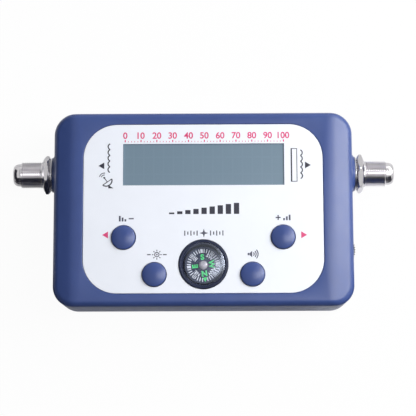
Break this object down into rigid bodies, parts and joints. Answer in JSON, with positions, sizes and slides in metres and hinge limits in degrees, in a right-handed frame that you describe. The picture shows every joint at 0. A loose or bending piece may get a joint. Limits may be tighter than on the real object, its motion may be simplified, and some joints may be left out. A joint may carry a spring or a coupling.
{
  "type": "satellite signal meter",
  "caption": "Hand-held meter for aiming a satellite dish: flat plastic case with a display window, push buttons, a compass and a coaxial connector at each end.",
  "frame": {"origin": "centre of the bounding box's underside: the middle of the flat back, on which the meter lies", "axes": "+X from the dish connector to the receiver connector, +Y up the face towards the display, +Z out of the face"},
  "size_m": [0.1396, 0.07, 0.0284],
  "materials": {
    "case_blue": "satin, fine grain",
    "button_blue": "satin",
    "label_white": "satin",
    "display_grey": "anti-glare film",
    "clear_glass": "polished",
    "clear_lens": "polished",
    "light_guide": "diffuse",
    "black_plastic": "moulded",
    "card_black": "printed",
    "soft_grey": "matt",
    "nickel": "bright nickel plate",
    "spring_steel": "zinc plate",
    "brass": "turned",
    "insulator_white": "moulded",
    "board_green": "solder mask",
    "tin_plate": "tin plate",
    "magnet_dark": "sintered",
    "led_white": "moulded"
  },
  "bodies": {
    "meter": {"front_shell": "case_blue", "back_shell": "case_blue", "face_label": "label_white", "lcd_polarizer": "display_grey", "lcd_front_glass": "clear_glass", "lcd_rear_glass": "clear_glass", "lcd_backlight": "light_guide", "lcd_holder": "black_plastic", "lcd_rubber_connector": "soft_grey", "backlight_led_left": "led_white", "backlight_led_right": "led_white", "main_board": "board_green", "shield_can": "tin_plate", "compass_cup": "black_plastic", "compass_lens": "clear_lens", "compass_pivot": "brass", "trimmer_base": "black_plastic", "buzzer_sounder": "black_plastic", "controller_chip": "black_plastic", "capacitor_upper": "tin_plate", "capacitor_lower": "tin_plate", "voltage_regulator": "black_plastic", "dish_connector_body": "nickel", "dish_connector_nut": "nickel", "dish_connector_washer": "spring_steel", "dish_connector_insulator": "insulator_white", "dish_connector_contact": "brass", "receiver_connector_body": "nickel", "receiver_connector_nut": "nickel", "receiver_connector_washer": "spring_steel", "receiver_connector_insulator": "insulator_white", "receiver_connector_contact": "brass", "case_screw_upper_left": "spring_steel", "case_screw_upper_right": "spring_steel", "case_screw_lower_left": "spring_steel", "case_screw_lower_right": "spring_steel", "board_screw_upper_left": "spring_steel", "board_screw_upper_right": "spring_steel", "board_screw_lower_left": "spring_steel", "board_screw_lower_right": "spring_steel", "attenuation_down_switch_body": "black_plastic", "attenuation_up_switch_body": "black_plastic", "light_switch_body": "black_plastic", "buzzer_switch_body": "black_plastic"},
    "attenuation_down_key": {"attenuation_down_button": "button_blue", "attenuation_down_switch_plunger": "soft_grey"},
    "attenuation_up_key": {"attenuation_up_button": "button_blue", "attenuation_up_switch_plunger": "soft_grey"},
    "light_key": {"light_button": "button_blue", "light_switch_plunger": "soft_grey"},
    "buzzer_key": {"buzzer_button": "button_blue", "buzzer_switch_plunger": "soft_grey"},
    "compass_rose": {"compass_card": "card_black", "compass_magnet": "magnet_dark", "compass_bearing_cap": "tin_plate"},
    "thumbwheel": {"level_thumbwheel": "black_plastic"}
  },
  "joints": [
    {"name": "attenuation_down_press", "type": "slide", "parent": "meter", "child": "attenuation_down_key", "axis": [0, 0, -1], "range_m": [0, 0.0004], "stiffness_N_per_m": 2000},
    {"name": "attenuation_up_press", "type": "slide", "parent": "meter", "child": "attenuation_up_key", "axis": [0, 0, -1], "range_m": [0, 0.0004], "stiffness_N_per_m": 2000},
    {"name": "light_press", "type": "slide", "parent": "meter", "child": "light_key", "axis": [0, 0, -1], "range_m": [0, 0.0004], "stiffness_N_per_m": 2000},
    {"name": "buzzer_press", "type": "slide", "parent": "meter", "child": "buzzer_key", "axis": [0, 0, -1], "range_m": [0, 0.0004], "stiffness_N_per_m": 2000},
    {"name": "compass_turn", "type": "hinge", "parent": "meter", "child": "compass_rose", "pos_m": [0, -0.0202, 0.023], "axis": [0, 0, 1], "continuous": true},
    {"name": "thumbwheel_turn", "type": "hinge", "parent": "meter", "child": "thumbwheel", "pos_m": [0.0478, -0.01446, 0.0194], "axis": [0, 0, 1], "range_deg": [-135, 135]}
  ]
}
